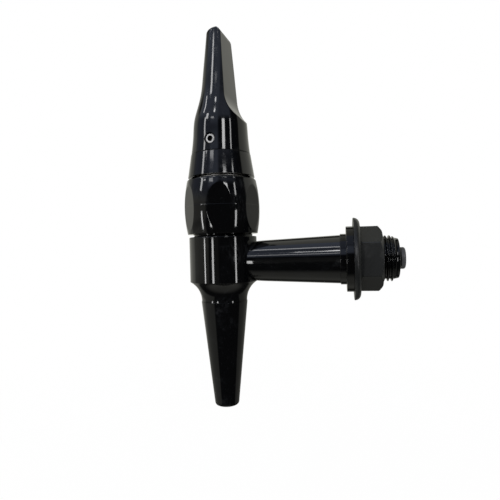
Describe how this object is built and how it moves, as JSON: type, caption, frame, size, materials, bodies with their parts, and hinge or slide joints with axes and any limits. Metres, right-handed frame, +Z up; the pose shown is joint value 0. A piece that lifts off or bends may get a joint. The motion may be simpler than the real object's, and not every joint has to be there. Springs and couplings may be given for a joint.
{
  "type": "beer tap",
  "caption": "Wall-through beer tap: thumb-scooped lever on a threaded collar, tapered nozzle, and a threaded shank with a push-fit tube socket.",
  "frame": {"origin": "on the shank's axis, in the shoulder face that the counter panel is clamped against", "axes": "+X out along the shank to the tube, +Z up, the drinker's side is -X"},
  "size_m": [0.1035, 0.0382, 0.183],
  "materials": {
    "gloss_black": "moulded black, polished",
    "satin_black": "moulded black, satin",
    "grey_collet": "moulded dark grey, satin",
    "stainless": "turned stainless",
    "seal_rubber": "moulded nitrile"
  },
  "bodies": {
    "tap": {"body": "gloss_black", "collar_nut": "gloss_black", "gland": "gloss_black", "gland_o_ring": "seal_rubber", "fulcrum_washer": "stainless", "nozzle": "gloss_black", "nozzle_o_ring": "seal_rubber", "flow_straightener": "satin_black", "flange_washer": "satin_black", "back_nut": "satin_black", "collet_cartridge": "satin_black", "tube_o_ring": "seal_rubber", "return_spring": "stainless"},
    "lever": {"lever_base": "gloss_black", "lever_stud": "stainless", "pivot_pin": "stainless", "handle": "gloss_black", "grub_screw": "stainless"},
    "valve": {"spindle": "stainless", "spindle_o_rings": "seal_rubber", "washer_cup": "stainless", "valve_washer": "seal_rubber", "cup_screw": "stainless"},
    "collet": {"tube_collet": "grey_collet", "collet_teeth": "stainless"}
  },
  "joints": [
    {"name": "lever_tilt", "type": "hinge", "parent": "tap", "child": "lever", "pos_m": [-0.0744, 0, 0.04107], "axis": [0, -1, 0], "range_deg": [0, 13.5], "stiffness_Nm_per_rad": 0.27, "springref_deg": -20.05},
    {"name": "spindle_lift", "type": "slide", "parent": "tap", "child": "valve", "axis": [0, 0, 1], "range_m": [0, 0.00272], "deforming": ["return_spring"]},
    {"name": "collet_press", "type": "slide", "parent": "tap", "child": "collet", "axis": [-1, 0, 0], "range_m": [0, 0.0009]}
  ],
  "couplings": [
    {"joint": "lever_tilt", "follows": "spindle_lift", "rad_per_m": 86.61}
  ]
}
